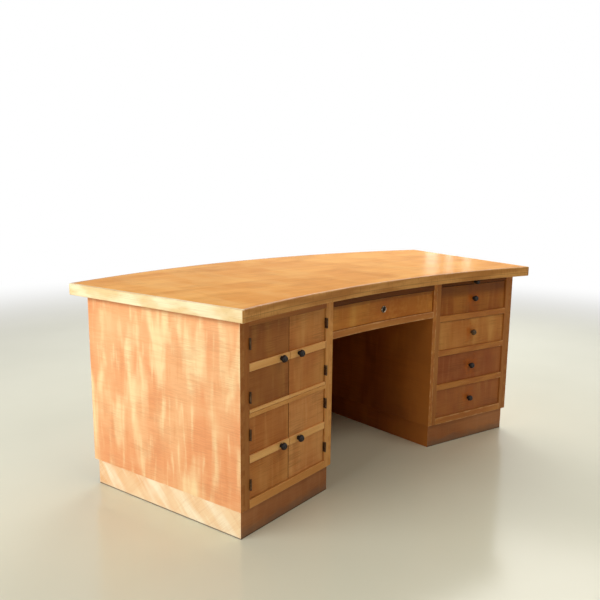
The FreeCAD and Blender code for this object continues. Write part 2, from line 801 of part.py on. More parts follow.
def build_door(tier, hand, foot, top, strips):
    label = f"{tier}_{hand}_door"
    on_left = hand == "left"
    u = mm.door_hinge_gap if on_left else mm.opening_width - mm.door_hinge_gap - mm.door_width
    keep(board(label + "_panel", left_frame, (u, mm.front_recess, foot), "Sizes.door_width",
               "Sizes.door_thickness", f"Sizes.{tier}_door_height"))
    bars = [board(f"{label}_{name}", left_frame, (u, 0, low), "Sizes.door_width",
                  "Sizes.front_recess", height) for name, low, height in strips]
    keep(group(label + "_strips", bars))
    from_edge = mm.knob_from_door_edge
    knob_u = u + mm.door_width - from_edge if on_left else u + from_edge
    handle_middle = strips[0][1] + mm.divider_height / 2
    keep(knob(label + "_knob", left_frame, (knob_u, 0, handle_middle), mm.knob_diameter))
    half_gap = mm.door_hinge_gap / 2
    axis_u = half_gap if on_left else mm.opening_width - half_gap
    feet = (foot + mm.hinge_end_distance, top - mm.hinge_end_distance - mm.hinge_length)
    leaves = [build_hinge(f"{label}_hinge_{index}", axis_u, hinge_foot, -1 if on_left else 1)
              for index, hinge_foot in enumerate(feet)]
    keep(group(label + "_hinge_leaves", leaves))


def build_doors():
    lower_strips = [("handle_strip", divider_low(LOWER_HANDLE_LEVEL), "Sizes.divider_height")]
    upper_strips = [("handle_strip", divider_low(UPPER_HANDLE_LEVEL), "Sizes.divider_height"),
                    ("foot_strip", upper_door_foot, "Sizes.foot_strip_height")]
    for hand in ("left", "right"):
        build_door("lower", hand, lower_door_foot, lower_door_top, lower_strips)
        build_door("upper", hand, upper_door_foot, upper_door_top, upper_strips)
    keep(group("hinge_frame_leaves", frame_leaves))
    keep(group("hinge_pins", pins))


# More sizes worked out for the boards
set_size("bearer_length", drawer_reach + mm.guide_width - mm.frame_depth)
set_size("drawer_width", mm.opening_width - 2 * mm.drawer_side_gap)
set_size("drawer_box_width", mm.drawer_width - outer_lean)
set_size("drawer_inner_width", mm.drawer_box_width - 2 * mm.drawer_wall)
set_size("drawer_front_height", mm.drawer_opening - mm.drawer_top_gap - mm.drawer_foot_gap)
set_size("drawer_side_height", mm.drawer_opening - mm.drawer_head_room)
set_size("centre_front_height",
         mm.centre_opening_height - mm.drawer_top_gap - mm.drawer_foot_gap)
set_size("centre_side_height", mm.centre_opening_height - mm.drawer_head_room)
set_size("centre_inner_width",
         mm.kneehole_width - 2 * mm.drawer_side_gap - 2 * mm.drawer_wall)
set_size("door_width", (mm.opening_width - 2 * mm.door_hinge_gap - mm.door_pair_gap) / 2)
set_size("knuckle_length", mm.hinge_length / KNUCKLE_COUNT)
set_size("lower_door_height", lower_door_top - lower_door_foot)
set_size("upper_door_height", upper_door_top - upper_door_foot)

build_desktop()
build_pedestals()
build_backs()
build_fixing_blocks()
build_cupboard_frame()
build_drawer_frame()
build_slide_bearers()
build_kneehole()
for number in range(1, DRAWER_COUNT + 1):
    build_drawer(number)
build_writing_slide()
build_centre_drawer()
build_doors()
doc.recompute()

# Every object is sound before anything is written
for piece in doc.Objects:
    if "Invalid" in piece.State or "Error" in piece.State:
        raise RuntimeError(f"{piece.Label} failed: {piece.State}")
for piece in kept:
    if piece.Shape.isNull() or not piece.Shape.isValid():
        raise RuntimeError(f"{piece.Label} has no sound shape")

os.makedirs("parts", exist_ok=True)
for piece in kept:
    piece.Shape.exportStep(f"parts/{piece.Label}.step")
    print(piece.Label, len(piece.Shape.Solids), round(piece.Shape.Volume))
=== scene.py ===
import json
import math
import random

import bmesh
import bpy
from mathutils import Matrix, Vector
from mathutils.bvhtree import BVHTree


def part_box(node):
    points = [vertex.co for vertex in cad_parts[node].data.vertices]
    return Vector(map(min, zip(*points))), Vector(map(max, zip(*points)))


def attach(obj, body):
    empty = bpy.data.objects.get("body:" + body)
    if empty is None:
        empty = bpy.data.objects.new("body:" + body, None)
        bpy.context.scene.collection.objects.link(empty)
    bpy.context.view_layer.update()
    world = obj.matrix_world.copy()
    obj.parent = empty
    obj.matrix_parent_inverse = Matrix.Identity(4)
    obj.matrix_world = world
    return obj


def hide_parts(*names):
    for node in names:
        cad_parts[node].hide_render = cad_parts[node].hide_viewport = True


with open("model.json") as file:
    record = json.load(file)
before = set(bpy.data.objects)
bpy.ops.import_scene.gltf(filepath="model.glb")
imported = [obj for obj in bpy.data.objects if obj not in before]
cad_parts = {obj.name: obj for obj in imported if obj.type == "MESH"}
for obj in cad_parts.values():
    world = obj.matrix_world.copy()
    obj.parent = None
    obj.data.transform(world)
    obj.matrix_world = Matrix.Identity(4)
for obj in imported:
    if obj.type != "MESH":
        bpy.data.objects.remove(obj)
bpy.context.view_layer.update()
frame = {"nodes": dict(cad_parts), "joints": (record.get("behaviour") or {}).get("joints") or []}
nodes = frame["nodes"]
scene = bpy.context.scene
print("frame loaded:", len(nodes), "nodes")

# directions of the desk, read from its joints
up = Vector((0, 0, 1))
jointAxis = {joint["name"]: Vector(joint["axis"]) for joint in frame["joints"]}
rightOut = jointAxis["drawer_1_slide"].normalized()  # the way the drawer fronts face
leftOut = Vector((-rightOut.x, rightOut.y, 0))       # the cupboard fronts mirror them
deskOut = jointAxis["centre_drawer_slide"].normalized()


# small tools

def linear(colour):
    # sRGB hex to the linear values that the shaders take
    parts = [int(colour[i:i + 2], 16) / 255 for i in (1, 3, 5)]
    return [c / 12.92 if c <= 0.04045 else ((c + 0.055) / 1.055) ** 2.4 for c in parts] + [1.0]


def addNode(tree, kind, links=None, **settings):
    node = tree.nodes.new("ShaderNode" + kind)
    for key, value in settings.items():
        setattr(node, key, value)
    for key, value in (links or {}).items():
        if isinstance(value, bpy.types.NodeSocket):
            tree.links.new(value, node.inputs[key])
        else:
            node.inputs[key].default_value = value
    return node


def newMaterial(name, **shading):
    # shading holds the sockets that are the same all over the surface
    material = bpy.data.materials.new(name)
    material.use_nodes = True
    tree = material.node_tree
    shader = tree.nodes["Principled BSDF"]
    for key, value in shading.items():
        shader.inputs[key.replace("_", " ")].default_value = value
    return material, tree, shader


def figure(tree, grain, along, across, **noise):
    # noise whose spots measure about along x across millimetres in the wood's own directions
    perMetre = Vector((1000 / along, 1000 / across, 1000 / across))
    spots = addNode(tree, "VectorMath", {0: grain, 1: perMetre}, operation="MULTIPLY")
    return addNode(tree, "TexNoise", {"Vector": spots.outputs[0], "Scale": 1.0, **noise}).outputs["Fac"]


# materials

def laidOver(tree, colour, pattern, edges, strength, stain):
    # the stain shows over the colour where the pattern rises from the first edge to the second
    share = addNode(tree, "MapRange", {"Value": pattern, "From Min": edges[0], "From Max": edges[1],
                                       "To Max": strength}, interpolation_type="SMOOTHSTEP")
    return addNode(tree, "Mix", {0: share.outputs[0], 6: colour, 7: linear(stain)},
                   data_type="RGBA").outputs[2]


def laidRagged(tree, colour, distance, blotch, spread, edges, strength, stain):
    # the same over a distance, with blotches that shift it by up to the spread and fray the rim
    frayed = addNode(tree, "Math", {0: blotch, 1: spread, 2: distance}, operation="MULTIPLY_ADD")
    return laidOver(tree, colour, frayed.outputs[0], edges, strength, stain)


def stainSpots(tree, colour, spots):
    # spots: (place, inner radius, outer radius, strength, colour), worn round a knob or a keyhole
    place = addNode(tree, "TexCoord").outputs["Object"]
    blotch = figure(tree, place, 22, 22, Detail=3.0)
    for centre, inner, outer, strength, stain in spots:
        away = addNode(tree, "VectorMath", {0: place, 1: centre}, operation="DISTANCE").outputs["Value"]
        edges = (outer * 1.8, inner + outer * 0.6)
        colour = laidRagged(tree, colour, away, blotch, outer * 1.6, edges, strength, stain)
    return colour


def levelBand(tree, colour, band):
    # band: (height, half width, strength, colour), a colour laid in a level band; the looks use it for glue
    # lines, and for painted shade below the desktop's edge and where a plinth meets the floor
    place = addNode(tree, "TexCoord").outputs["Object"]
    height = addNode(tree, "SeparateXYZ", {0: place}).outputs["Z"]
    level, halfWidth, strength, stain = band
    above = addNode(tree, "Math", {0: height, 1: level}, operation="SUBTRACT").outputs[0]
    away = addNode(tree, "Math", {0: above}, operation="ABSOLUTE").outputs[0]
    return laidOver(tree, colour, away, (halfWidth, halfWidth * 0.4), strength, stain)


def scuffedFoot(tree, colour, foot):
    # foot: (height, strength, colour), mop water and shoes have greyed the wood up to this height
    place = addNode(tree, "TexCoord").outputs["Object"]
    height = addNode(tree, "SeparateXYZ", {0: place}).outputs["Z"]
    blotch = figure(tree, place, 60, 18, Detail=4.0)
    reach, strength, stain = foot
    return laidRagged(tree, colour, height, blotch, reach, (reach * 1.3, reach * 0.5), strength, stain)


def paintedFrontLight(tree, colour, fade):
    # the band (from, to, strength, colour): painted light, the wood drawn lighter towards the desk's front
    # where more light reaches in
    place = addNode(tree, "TexCoord").outputs["Object"]
    depth = addNode(tree, "SeparateXYZ", {0: place}).outputs["Y"]
    blotch = figure(tree, place, 90, 160, Detail=3.0)
    start, end, strength, stain = fade
    return laidRagged(tree, colour, depth, blotch, (start - end) * 0.6, (start, end), strength, stain)


def boardMeasures(tree):
    # the place from the board's middle and half the board's size, as writeGrain left them
    return [addNode(tree, "Attribute", attribute_name=name).outputs["Vector"] for name in ("board", "reach")]


def rubbedEdges(tree, colour, wear):
    # wear: (width, strength, colour), lacquer rubbed thin along the edges of a board
    width, strength, stain = wear
    place, reach = boardMeasures(tree)
    beside = addNode(tree, "VectorMath", {0: place}, operation="ABSOLUTE").outputs[0]
    inside = addNode(tree, "VectorMath", {0: reach, 1: beside}, operation="SUBTRACT").outputs[0]
    deep = addNode(tree, "SeparateXYZ", {0: inside}).outputs
    # the smallest of the three is the face itself, and the middle one the distance to its edge
    near = addNode(tree, "Math", {0: deep[0], 1: deep[1]}, operation="MINIMUM").outputs[0]
    far = addNode(tree, "Math", {0: deep[0], 1: deep[1]}, operation="MAXIMUM").outputs[0]
    third = addNode(tree, "Math", {0: far, 1: deep[2]}, operation="MINIMUM").outputs[0]
    edge = addNode(tree, "Math", {0: near, 1: third}, operation="MAXIMUM").outputs[0]
    grain = addNode(tree, "Attribute", attribute_name="grain").outputs["Vector"]
    blotch = figure(tree, grain, 30, 30, Detail=4.0, Roughness=0.65)
    return laidRagged(tree, colour, edge, blotch, width * 2.4, (width * 1.9, width * 0.9), strength, stain)


def dovetails(tree, colour, joint):
    # joint: (length, spacing, colour), end grain of the pins that lock the corners of a drawer
    length, spacing, stain = joint
    place, reach = boardMeasures(tree)
    spot = addNode(tree, "SeparateXYZ", {0: place}).outputs
    limit = addNode(tree, "SeparateXYZ", {0: reach}).outputs
    beside = addNode(tree, "Math", {0: spot[0]}, operation="ABSOLUTE").outputs[0]
    fromEnd = addNode(tree, "Math", {0: limit[0], 1: beside}, operation="SUBTRACT").outputs[0]
    # the pins narrow by one in six towards the end, and only the outer face shows them
    wave = addNode(tree, "Math", {0: spot[1], 1: spacing / 2}, operation="PINGPONG").outputs[0]
    flank = addNode(tree, "Math", {0: fromEnd, 1: -1 / 6, 2: wave}, operation="MULTIPLY_ADD").outputs[0]
    pin = addNode(tree, "Math", {0: spacing * 0.13, 1: flank}, operation="SUBTRACT").outputs[0]
    end = addNode(tree, "Math", {0: length, 1: fromEnd}, operation="SUBTRACT").outputs[0]
    under = addNode(tree, "Math", {0: spot[2], 1: limit[2]}, operation="SUBTRACT").outputs[0]
    outer = addNode(tree, "Math", {0: under, 1: 0.0005}, operation="ADD").outputs[0]
    both = addNode(tree, "Math", {0: pin, 1: end}, operation="MINIMUM").outputs[0]
    shown = addNode(tree, "Math", {0: both, 1: outer}, operation="MINIMUM").outputs[0]
    return laidOver(tree, colour, shown, (0.0, 0.0003), 0.75, stain)


def lacquer(tree, shader, colour, slow, span, gloss, fine):
    # the sheen changes with the slow figure, and the fine one stands in faint relief
    sheen = addNode(tree, "MapRange", {"Value": slow, "From Min": span[0], "From Max": span[1],
                                       "To Min": gloss[0], "To Max": gloss[1]})
    relief = addNode(tree, "Bump", {"Height": fine, "Strength": 0.1, "Distance": 0.0004})
    tree.links.new(colour, shader.inputs["Base Color"])
    tree.links.new(sheen.outputs[0], shader.inputs["Roughness"])
    tree.links.new(relief.outputs[0], shader.inputs["Normal"])


def flamedBirch(name, look):
    # rotary-cut flamed birch veneer, stained honey and lacquered by hand: pale flames stand across
    # the grain, fine ripple lines run along it in patches, and the lacquer has a soft uneven sheen
    material, tree, shader = newMaterial(name, IOR=look["ior"], Specular_IOR_Level=look["specular"])
    grain = addNode(tree, "Attribute", attribute_name="grain").outputs["Vector"]
    tone = figure(tree, grain, *look["toneMm"], Detail=2.0, Roughness=0.5)
    colour = laidOver(tree, linear(look["base"]), tone, (0.64, 0.38), 1.0, look["deep"])
    # flames: broad soft ones, and narrow licks between them
    flame = figure(tree, grain, *look["flameMm"], Detail=2.0, Roughness=0.45, Distortion=0.3)
    colour = laidOver(tree, colour, flame, (0.45, 0.72), look["flameStrength"], look["pale"])
    lick = figure(tree, grain, *look["lickMm"], Detail=2.0, Roughness=0.5, Distortion=0.15)
    colour = laidOver(tree, colour, lick, (0.53, 0.76), look["lickStrength"], look["pale"])
    colour = laidOver(tree, colour, lick, (0.46, 0.27), look["lickStrength"] * 0.6, look["streak"])
    # long streaks along the grain
    streak = figure(tree, grain, *look["streakMm"], Detail=3.0, Roughness=0.6)
    colour = laidOver(tree, colour, streak, (0.45, 0.72), look["streakStrength"], look["streak"])
    # ripple lines, really under a millimetre wide and drawn coarser so that they show
    ripple = figure(tree, grain, *look["rippleMm"], Detail=2.0, Roughness=0.6)
    patch = figure(tree, grain, 150, 110, Detail=1.0)
    patchy = addNode(tree, "Math", {0: ripple, 1: patch}, operation="MULTIPLY").outputs[0]
    colour = laidOver(tree, colour, patchy, (0.25, 0.38), look["rippleStrength"], look["ripple"])
    colour = laidOver(tree, colour, patchy, (0.24, 0.15), look["rippleStrength"] * 0.5, look["pale"])
    if "spots" in look:
        colour = stainSpots(tree, colour, look["spots"])
    # painted light, lighter towards the desk's front
    if "fade" in look:
        colour = paintedFrontLight(tree, colour, look["fade"])
    if "foot" in look:
        colour = scuffedFoot(tree, colour, look["foot"])
        # with the painted contact shadow where the plinth meets the floor
        colour = levelBand(tree, colour, paintedContactShadow)
    if "line" in look:
        colour = levelBand(tree, colour, look["line"])
    if "wear" in look:
        colour = rubbedEdges(tree, colour, look["wear"])
    lacquer(tree, shader, colour, flame, (0.3, 0.7), look["gloss"], ripple)
    return material


def sawnWood(name, look):
    # sawn birch, or pine inside, planed and lacquered: straight grain in long thin lines, slow colour
    # change from board to board and a duller sheen than the veneer
    material, tree, shader = newMaterial(name, IOR=1.45, Specular_IOR_Level=look["specular"])
    grain = addNode(tree, "Attribute", attribute_name="grain").outputs["Vector"]
    tone = figure(tree, grain, *look["toneMm"], Detail=2.0, Roughness=0.5)
    colour = laidOver(tree, linear(look["base"]), tone, (0.65, 0.35), 1.0, look["deep"])
    streak = figure(tree, grain, *look["streakMm"], Detail=4.0, Roughness=0.6)
    colour = laidOver(tree, colour, streak, (0.45, 0.75), look["streakStrength"], look["streak"])
    # short dark pores, drawn coarser than their half millimetre so that they show
    pore = figure(tree, grain, 16, 1.6, Detail=1.0)
    colour = laidOver(tree, colour, pore, (0.66, 0.8), look["poreStrength"], look["pore"])
    if "tickMm" in look:
        tick = figure(tree, grain, *look["tickMm"], Detail=2.0)
        colour = laidOver(tree, colour, tick, (0.52, 0.72), look["tickStrength"], look["streak"])
    if "line" in look:
        colour = levelBand(tree, colour, look["line"])
    if "joint" in look:
        colour = dovetails(tree, colour, look["joint"])
    if "wear" in look:
        colour = rubbedEdges(tree, colour, look["wear"])
    lacquer(tree, shader, colour, streak, (0, 1), look["gloss"], streak)
    return material


def rubbedFinish(name, look):
    # metal or ebonised wood, rubbed by hands: two tones in slow patches, glossier where darker
    material, tree, shader = newMaterial(name, Metallic=look["metallic"],
                                         Specular_IOR_Level=look.get("specular", 0.5))
    place = addNode(tree, "TexCoord").outputs["Object"]
    patches = figure(tree, place, look["patchMm"], look["patchMm"], Detail=4.0, Roughness=0.6)
    colour = laidOver(tree, linear(look["dark"]), patches, (0.4, 0.68), 1.0, look["light"])
    sheen = addNode(tree, "MapRange", {"Value": patches, "To Min": look["gloss"][0],
                                       "To Max": look["gloss"][1]})
    tree.links.new(colour, shader.inputs["Base Color"])
    tree.links.new(sheen.outputs[0], shader.inputs["Roughness"])
    return material


paintedContactShadow = (0.0, 0.005, 0.85, "#3A2E24")  # painted shadow: the dark line where a plinth stands on the floor
veneerLook = dict(toneMm=(240, 320), flameMm=(70, 300), lickMm=(20, 170), streakMm=(420, 16),
                  rippleMm=(80, 2.8), flameStrength=0.4, lickStrength=0.25, streakStrength=0.2,
                  rippleStrength=0.22, gloss=(0.36, 0.48), specular=0.2, ior=1.4)
# the top's lacquer is thin and rubbed smooth, so it mirrors only what is very bright
topVeneer = flamedBirch("flamedBirchTopLacquered", dict(
    veneerLook, deep="#EDA650", base="#F9B760", pale="#FCCA80", streak="#D28844", ripple="#B67234",
    toneMm=(560, 90), streakMm=(320, 7), streakStrength=0.36, flameMm=(90, 240), flameStrength=0.42,
    lickStrength=0.2, rippleStrength=0.28, gloss=(0.16, 0.24), specular=0.005, ior=1.25))
# the side's dark line just under the desktop is painted shade below the overhanging lipping
sideVeneer = flamedBirch("flamedBirchSideLacquered", dict(
    veneerLook, deep="#EAA270", base="#EFB684", pale="#F9E2B0", streak="#E2955E", ripple="#C4845A",
    toneMm=(150, 260), flameMm=(60, 240), rippleMm=(50, 2.5), flameStrength=0.85, lickStrength=0.6,
    rippleStrength=0.26, wear=(0.006, 0.5, "#FBE6BE"), line=(0.719, 0.027, 0.6, "#9A6038")))
backVeneer = flamedBirch("flamedBirchBackLacquered", dict(
    veneerLook, deep="#D88E58", base="#E2A46C", pale="#EFCB94", streak="#CA7E4A", ripple="#AA6E44",
    toneMm=(200, 300), flameStrength=0.55, lickStrength=0.3, rippleStrength=0.26))
plinthSide = flamedBirch("flamedBirchPlinthSide", dict(
    veneerLook, deep="#EDBE8E", base="#F4D8B0", pale="#FCF2D8", streak="#E4B07C", ripple="#C89464",
    flameMm=(50, 200), flameStrength=0.8, lickStrength=0.4, rippleStrength=0.16,
    foot=(0.02, 0.4, "#F2DCC4"), line=(0.098, 0.005, 0.55, "#A06838")))
plinthFront = flamedBirch("flamedBirchPlinthFront", dict(
    veneerLook, deep="#A0643A", base="#B07446", pale="#C28A5A", streak="#905832", ripple="#704428",
    foot=(0.055, 0.7, "#7C6654"), wear=(0.004, 0.45, "#C69A70")))
innerVeneer = flamedBirch("flamedBirchKneeholeStained", dict(
    veneerLook, deep="#82401A", base="#9C521E", pale="#B06628", streak="#6E3616", ripple="#562A12",
    # lighter towards the kneehole's front as painted light
    fade=(0.12, -0.26, 0.6, "#C88038")))

boardLook = dict(toneMm=(300, 24), streakMm=(260, 2.6), streakStrength=0.4, poreStrength=0.35,
                 gloss=(0.4, 0.55), specular=0.2)
# the end lippings are the front lippings' wood drawn much paler, as painted light where the side light falls
# on them
endLipping = sawnWood("solidBirchLippingBleached", dict(
    boardLook, deep="#EACF9C", base="#F8EBC6", streak="#D6AC78", pore="#8A6238",
    toneMm=(110, 40), streakStrength=0.5,
    wear=(0.004, 0.5, "#C8985E")))
frontLipping = sawnWood("solidBirchLipping", dict(
    boardLook, deep="#B87C3C", base="#D8A05A", streak="#9C642C", pore="#6A4420", toneMm=(220, 30),
    tickMm=(5, 30), tickStrength=0.4, line=(0.7345, 0.0016, 0.45, "#6E4620"),
    wear=(0.004, 0.45, "#E8C08A")))
frameWood = sawnWood("solidBirchFrame", dict(
    boardLook, deep="#D4934E", base="#E0A45E", streak="#B07036", pore="#6E4420",
    wear=(0.003, 0.4, "#ECC088")))
stripWood = sawnWood("solidBirchStrip", dict(
    boardLook, deep="#EAAE68", base="#F6C07A", streak="#C88C4E", pore="#744A24",
    wear=(0.003, 0.5, "#F6D29C")))
stileWood = sawnWood("solidBirchStile", dict(
    boardLook, deep="#A4652E", base="#B2763C", streak="#865022", pore="#543218"))
# its pale edges are partly real wear and partly painted highlight where light catches the divider's top edge
dividerWood = sawnWood("solidBirchDivider", dict(
    boardLook, deep="#B26E34", base="#C0803E", streak="#905628", pore="#5E381A",
    wear=(0.007, 0.6, "#EABE86")))
gapShadeWood = sawnWood("solidBirchEdgeSoiled", dict(  # cut edges of the fronts, dark as painted shade in the gaps round them
    boardLook, deep="#643A16", base="#76481E", streak="#4C2C10", pore="#34200E", specular=0.08))
paintedShadeWood = sawnWood("solidBirchUnfaded", dict(  # painted shade: dark wood for the parts in the desktop's shadow
    boardLook, deep="#643812", base="#76441A", streak="#4E2A0E", pore="#34200E", specular=0.1))
insideLook = dict(boardLook, deep="#D9B078", base="#E6C48E", streak="#B98A52", pore="#8A6438")
innerWood = sawnWood("solidPineInside", insideLook)
boxWood = sawnWood("solidPineDovetailed", dict(insideLook, joint=(0.012, 0.034, "#A87844")))

blackIron = rubbedFinish("japannedIronHinge", dict(  # pressed and japanned: black worn through to brown iron
    dark="#3E2C1C", light="#6A5138", metallic=0.8, patchMm=9, gloss=(0.3, 0.5)))
nickel = rubbedFinish("nickelPlatedBrass", dict(  # turned and plated: bright flecks between bare brown brass
    dark="#5E4836", light="#DCC8AC", metallic=1.0, patchMm=5, gloss=(0.2, 0.4)))
blackBrass = rubbedFinish("blackenedBrassRecess", dict(  # cast and blackened: a dull dark ground for the rim
    dark="#120E0B", light="#2A2119", metallic=0.7, patchMm=5, gloss=(0.45, 0.65)))
steel = rubbedFinish("rolledSteelLock", dict(  # rolled: grey, faintly clouded and half bright
    dark="#6E6A64", light="#8F8B84", metallic=1.0, patchMm=12, gloss=(0.3, 0.5)))
ebonised = rubbedFinish("ebonisedTurnedWood", dict(  # turned, stained black and waxed: a soft round highlight
    dark="#140E0D", light="#271C1A", metallic=0.0, patchMm=7, gloss=(0.36, 0.5), specular=0.3))
rubbedKnob = rubbedFinish("ebonisedTurnedWoodRubbed", dict(  # one knob has lost most of its black
    dark="#3A2A18", light="#6E5634", metallic=0.0, patchMm=7, gloss=(0.4, 0.55), specular=0.3))
print("materials:", len(bpy.data.materials))


# boards: each stands for its solids, with eased edges and its own grain
flatAngle = math.radians(0.4)   # triangles that meet at less than this are one flat face
arrisAngle = math.radians(20)   # edges sharper than this are eased
touching = 0.0004               # a face nearer than this to another solid lies against it
centred = 0.00001               # a board nearer than this to its node's middle has no outer side
layWay = Vector((1, 0, -1))     # the figure of such a board is laid out from the face that looks this way


def looseParts(bm):
    # face lists of the separate solids in one mesh, in the mesh's own order so that every run is the same
    seen = set()
    parts = []
    for first in bm.faces:
        if first in seen:
            continue
        seen.add(first)
        part = [first]
        for reached in part:
            for edge in reached.edges:
                fresh = [face for face in edge.link_faces if face not in seen]
                seen.update(fresh)
                part.extend(fresh)
        parts.append(part)
    return sorted(parts, key=lambda part: tuple(round(c, 4) for c in middleOf(vertsOf(part))))


def vertsOf(part):
    return list(dict.fromkeys(vert for face in part for vert in face.verts))


def middleOf(verts):
    lows = [min(vert.co[i] for vert in verts) for i in range(3)]
    highs = [max(vert.co[i] for vert in verts) for i in range(3)]
    return (Vector(lows) + Vector(highs)) / 2


def trianglesBySolid(node):
    # the node's triangles in order; a solid ends where its surface has closed
    mesh = nodes[node].data
    solids, current, openEdges = [], [], set()
    for polygon in mesh.polygons:
        corners = [tuple(round(c, 6) for c in mesh.vertices[i].co) for i in polygon.vertices]
        if len(set(corners)) < 3:
            continue
        current.append(corners)
        for start, end in zip(corners, corners[1:] + corners[:1]):
            openEdges ^= {frozenset((start, end))}
        if not openEdges:
            solids.append(current)
            current = []
    return solids + [current] if current else solids


def cleanCopy(node):
    # a welded copy with flat faces whole again, in which touching solids stay apart
    bm = bmesh.new()
    for triangles in trianglesBySolid(node):
        welded = {}
        for corners in triangles:
            for corner in corners:
                if corner not in welded:
                    welded[corner] = bm.verts.new(corner)
            bm.faces.new([welded[corner] for corner in corners])
    bm.normal_update()
    bmesh.ops.dissolve_limit(bm, angle_limit=flatAngle, verts=bm.verts, edges=bm.edges)
    bm.faces.ensure_lookup_table()
    return bm


def solidsTree():
    # every solid of the desk in one search tree, to find the faces that lie against a neighbour
    points, polygons, owners = [], [], []
    for name in sorted(nodes):
        bm = cleanCopy(name)
        bmesh.ops.triangulate(bm, faces=bm.faces)
        for index, part in enumerate(looseParts(bm)):
            for face in part:
                polygons.append(range(len(points), len(points) + 3))
                points.extend(vert.co.copy() for vert in face.verts)
                owners.append((name, index))
        bm.free()
    return BVHTree.FromPolygons(points, [tuple(p) for p in polygons]), owners


neighbours, neighbourOwners = solidsTree()
print("solids found:", len(set(neighbourOwners)))


def isMated(face, owner):
    hits = neighbours.find_nearest_range(face.calc_center_median(), touching)
    return any(neighbourOwners[index] != owner for _, _, index, _ in hits)


def faceNormal(part):
    # the way a board's broadest face looks
    areas = {}
    for face in part:
        key = tuple(round(abs(c), 1) for c in face.normal)
        areas[key] = areas.get(key, 0) + face.calc_area()
    broadest = max(areas, key=lambda key: (round(areas[key], 6), key))
    members = [face for face in part if tuple(round(abs(c), 1) for c in face.normal) == broadest]
    return max(members, key=lambda face: face.calc_area()).normal.copy()


def grainAxes(part, grain, outward, facing):
    # along, across and out through the board; grain is "level", "up" or a direction
    through = faceNormal(part)
    lean = through.dot(outward)
    if abs(lean) < centred:
        lean = through.dot(facing)
    if lean < 0:
        through.negate()
    standing = abs(through.z) < 0.9
    if isinstance(grain, Vector):
        along = grain - through * grain.dot(through)
    elif grain == "up" and standing:
        along = up - through * through.z
    else:
        along = up.cross(through) if standing else Vector((1, 0, 0))
    along.normalize()
    return along, through.cross(along), through


def evaluated(piece):
    depsgraph = bpy.context.evaluated_depsgraph_get()
    return bpy.data.meshes.new_from_object(piece.evaluated_get(depsgraph))


def dressBoard(node, material, body, slot, grain="level", rounding=0.0008, seam=0.00025, pick=None,
               arc=None, facing=layWay):
    # pick chooses a finish by the solid's middle and the face's normal where one node holds several,
    # arc gives the curve that a bent board's grain follows, and facing is for a board with no outer side
    bm = cleanCopy(node)
    weights = bm.edges.layers.float.new("bevel_weight_edge")
    boards = []
    whole = middleOf(bm.verts)
    for index, part in enumerate(looseParts(bm)):
        mated = {face for face in part if isMated(face, (node, index))}
        middle = middleOf(vertsOf(part))
        lie = grain(middle) if callable(grain) else grain
        boards.append((middle, grainAxes(part, lie, middle - whole, facing), arc and arc(middle)))
        for face in part:
            face.smooth = True
            face.material_index = pick(middle, face.normal) if pick else 0
            for edge in face.edges:
                if len(edge.link_faces) == 2 and edge.calc_face_angle(0) > arrisAngle:
                    isSeam = any(linked in mated for linked in edge.link_faces)
                    edge[weights] = seam / rounding if isSeam else 1.0
    mesh = bpy.data.meshes.new(node + "_board")
    bm.to_mesh(mesh)
    bm.free()
    for entry in material if pick else [material]:
        mesh.materials.append(entry)
    piece = bpy.data.objects.new(node + "_board", mesh)
    scene.collection.objects.link(piece)
    ease = piece.modifiers.new("easedEdges", "BEVEL")
    ease.limit_method = "WEIGHT"
    ease.width = rounding
    ease.segments = 3
    ease.use_clamp_overlap = True
    flat = piece.modifiers.new("flatFaces", "WEIGHTED_NORMAL")
    flat.weight = 90
    piece.data = evaluated(piece)
    piece.modifiers.clear()
    writeGrain(piece.data, boards)
    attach(piece, body)
    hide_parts(node)


def grainPlace(point, centre, axes, arc):
    if arc is None:
        return Vector([(point - centre).dot(axis) for axis in axes])
    spoke = Vector((point.x, point.y - arc["centre"]))
    return Vector((math.atan2(spoke.x, spoke.y) * arc["radius"], point.z, spoke.length))


def writeGrain(mesh, boards):
    # grain: metres along, across and through each board, shifted so that no two boards match;
    # board: the same from the board's middle, unshifted; reach: half the board's size
    bm = bmesh.new()
    bm.from_mesh(mesh)
    bm.verts.ensure_lookup_table()
    values = {name: [Vector()] * len(bm.verts) for name in ("grain", "board", "reach")}
    for part in looseParts(bm):
        verts = vertsOf(part)
        middle = middleOf(verts)
        centre, axes, arc = min(boards, key=lambda board: (board[0] - middle).length)
        draw = random.Random(f"{mesh.name} {[round(c, 3) for c in centre]}")
        shift = Vector([draw.uniform(-9, 9) for _ in range(3)])
        places = [grainPlace(vert.co, centre, axes, arc) for vert in verts]
        low = Vector([min(place[i] for place in places) for i in range(3)])
        high = Vector([max(place[i] for place in places) for i in range(3)])
        for vert, place in zip(verts, places):
            values["grain"][vert.index] = place + shift
            values["board"][vert.index] = place - (low + high) / 2
            values["reach"][vert.index] = (high - low) / 2
    bm.free()
    for name, vectors in values.items():
        layer = mesh.attributes.new(name, "FLOAT_VECTOR", "POINT")
        layer.data.foreach_set("vector", [c for vector in vectors for c in vector])


def looksAlong(normal, axis, share=0.5):
    # whether a face looks along the axis, by the share of the axis in its normal
    return normal.dot(axis) > share


# the desk's two curves in metres, each with its centre on the middle line
frontArc = dict(centre=-3.5398, radius=3.1646)
rearArc = dict(centre=-2.3439, radius=2.8207)


def alongFront(middle):
    return frontArc


def alongRear(middle):
    return rearArc


